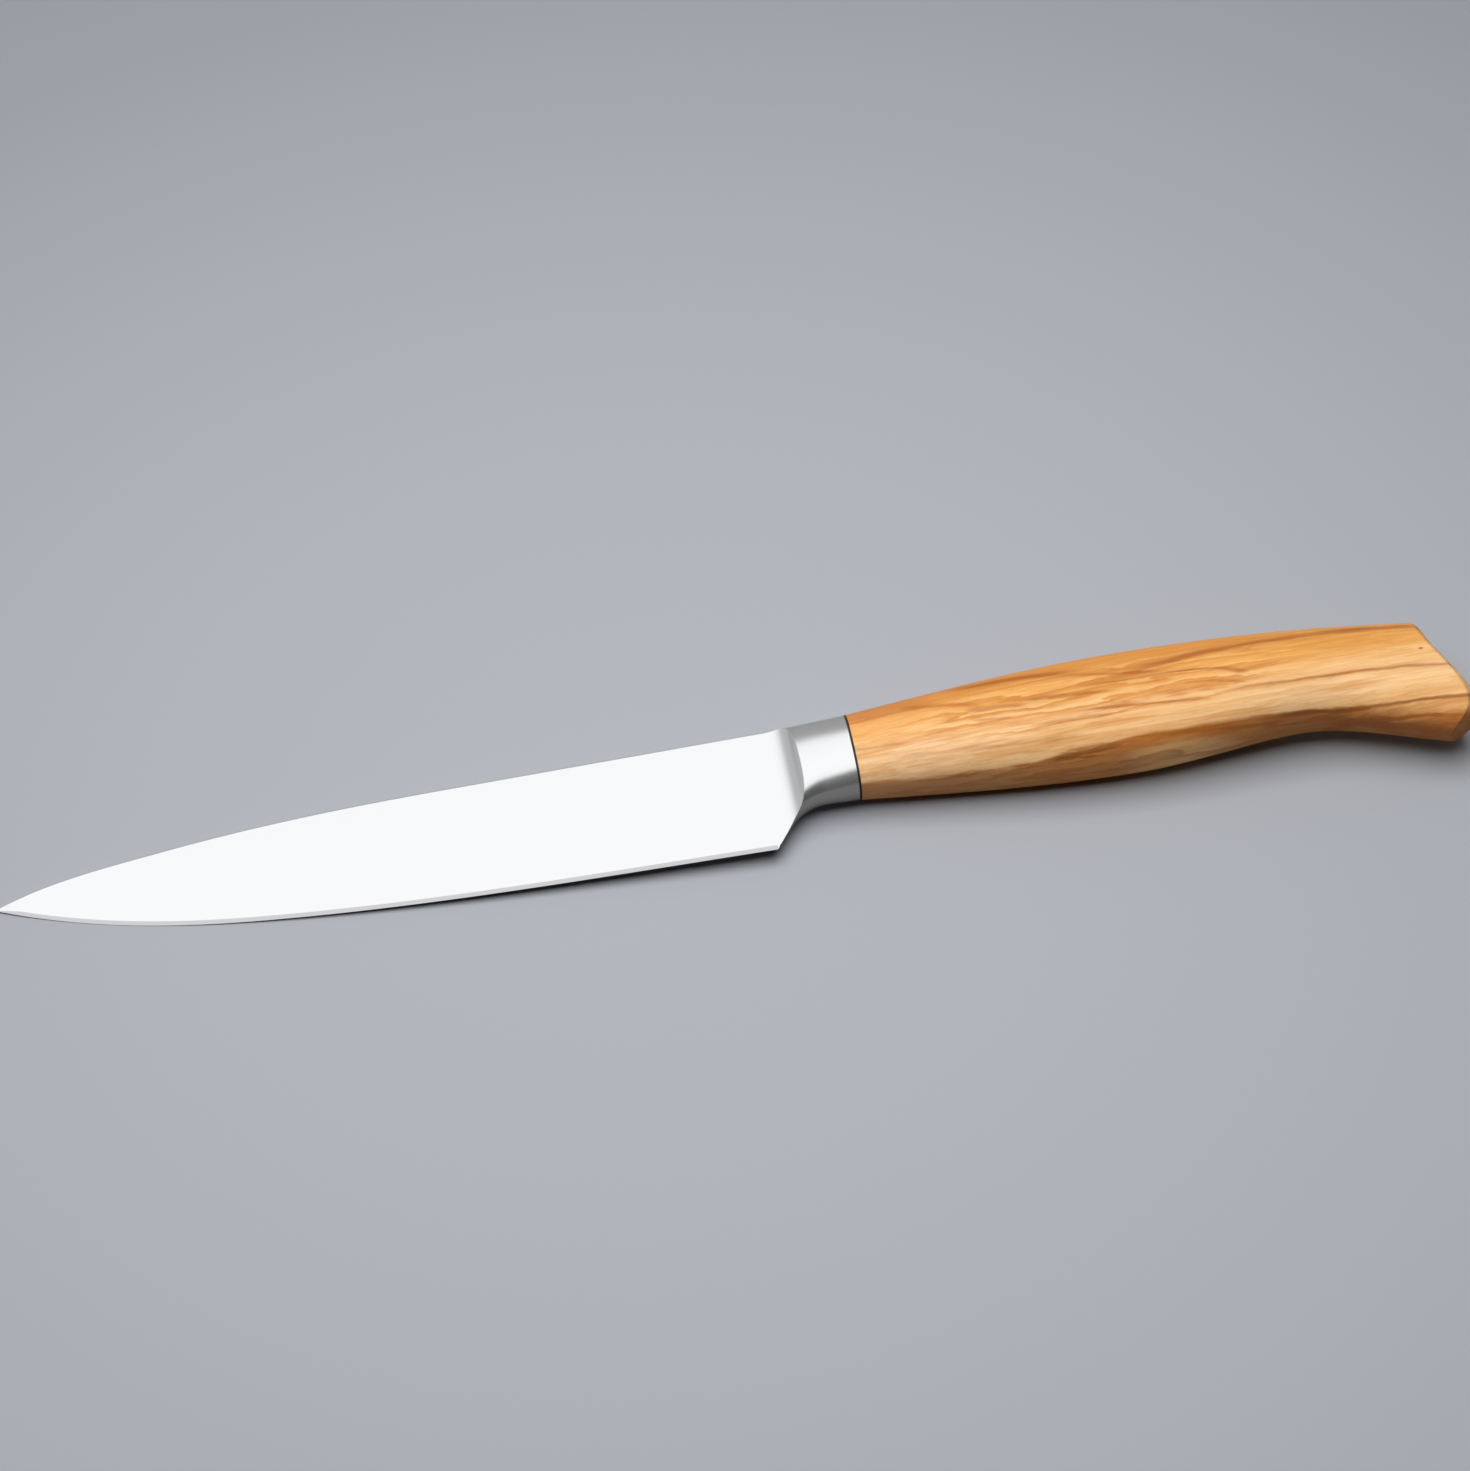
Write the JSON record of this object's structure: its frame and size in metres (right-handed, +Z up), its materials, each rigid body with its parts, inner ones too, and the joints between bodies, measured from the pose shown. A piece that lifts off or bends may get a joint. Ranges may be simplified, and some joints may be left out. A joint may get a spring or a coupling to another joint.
{
  "type": "kitchen knife",
  "caption": "Forged kitchen knife with a slim pointed blade, a half bolster, a thin dark spacer and a swelling olive-wood handle with a beaked butt, lying on its flank and leaning towards its edge.",
  "frame": {"origin": "on the surface that the knife lies on, under the middle of its bounding box", "axes": "+X from the blade's point towards the butt, +Y from the cutting edge towards the spine, +Z up from the flank that it lies on"},
  "size_m": [0.282, 0.0296, 0.0178],
  "materials": {
    "blade_steel": "fine satin grind",
    "spacer_fibre": "matt black fibre",
    "tang_glue": "cured adhesive",
    "handle_olive": "oiled olive wood"
  },
  "bodies": {
    "root": {"blade": "blade_steel", "bolster_spacer": "spacer_fibre", "tang_adhesive": "tang_glue", "handle": "handle_olive"}
  },
  "joints": []
}
